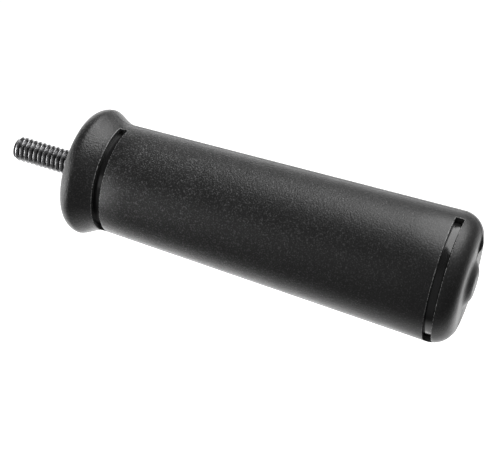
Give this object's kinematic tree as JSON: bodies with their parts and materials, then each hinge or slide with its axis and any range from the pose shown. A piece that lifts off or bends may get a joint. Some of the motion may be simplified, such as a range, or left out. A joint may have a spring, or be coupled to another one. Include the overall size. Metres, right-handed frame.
{
  "type": "spotlight yoke handle",
  "caption": "Tapered grip handle with a flared collar and arc windows in its over-moulded skin, on a threaded steel stud that clamps a lamp's yoke.",
  "frame": {"origin": "centre of the collar's seating face, on the screw's axis", "axes": "+X along the grip towards its free end, so the screw points along -X; -Y and +Y towards the arc windows; +Z towards the mould's parting line"},
  "size_m": [0.1202, 0.0318, 0.0318],
  "materials": {
    "plated_steel": "bright zinc plated",
    "gloss_core": "polished black",
    "textured_skin": "fine spark-eroded texture, charcoal black"
  },
  "bodies": {
    "root": {"threaded_stud": "plated_steel", "rigid_core": "gloss_core", "grip_skin": "textured_skin"}
  },
  "joints": []
}
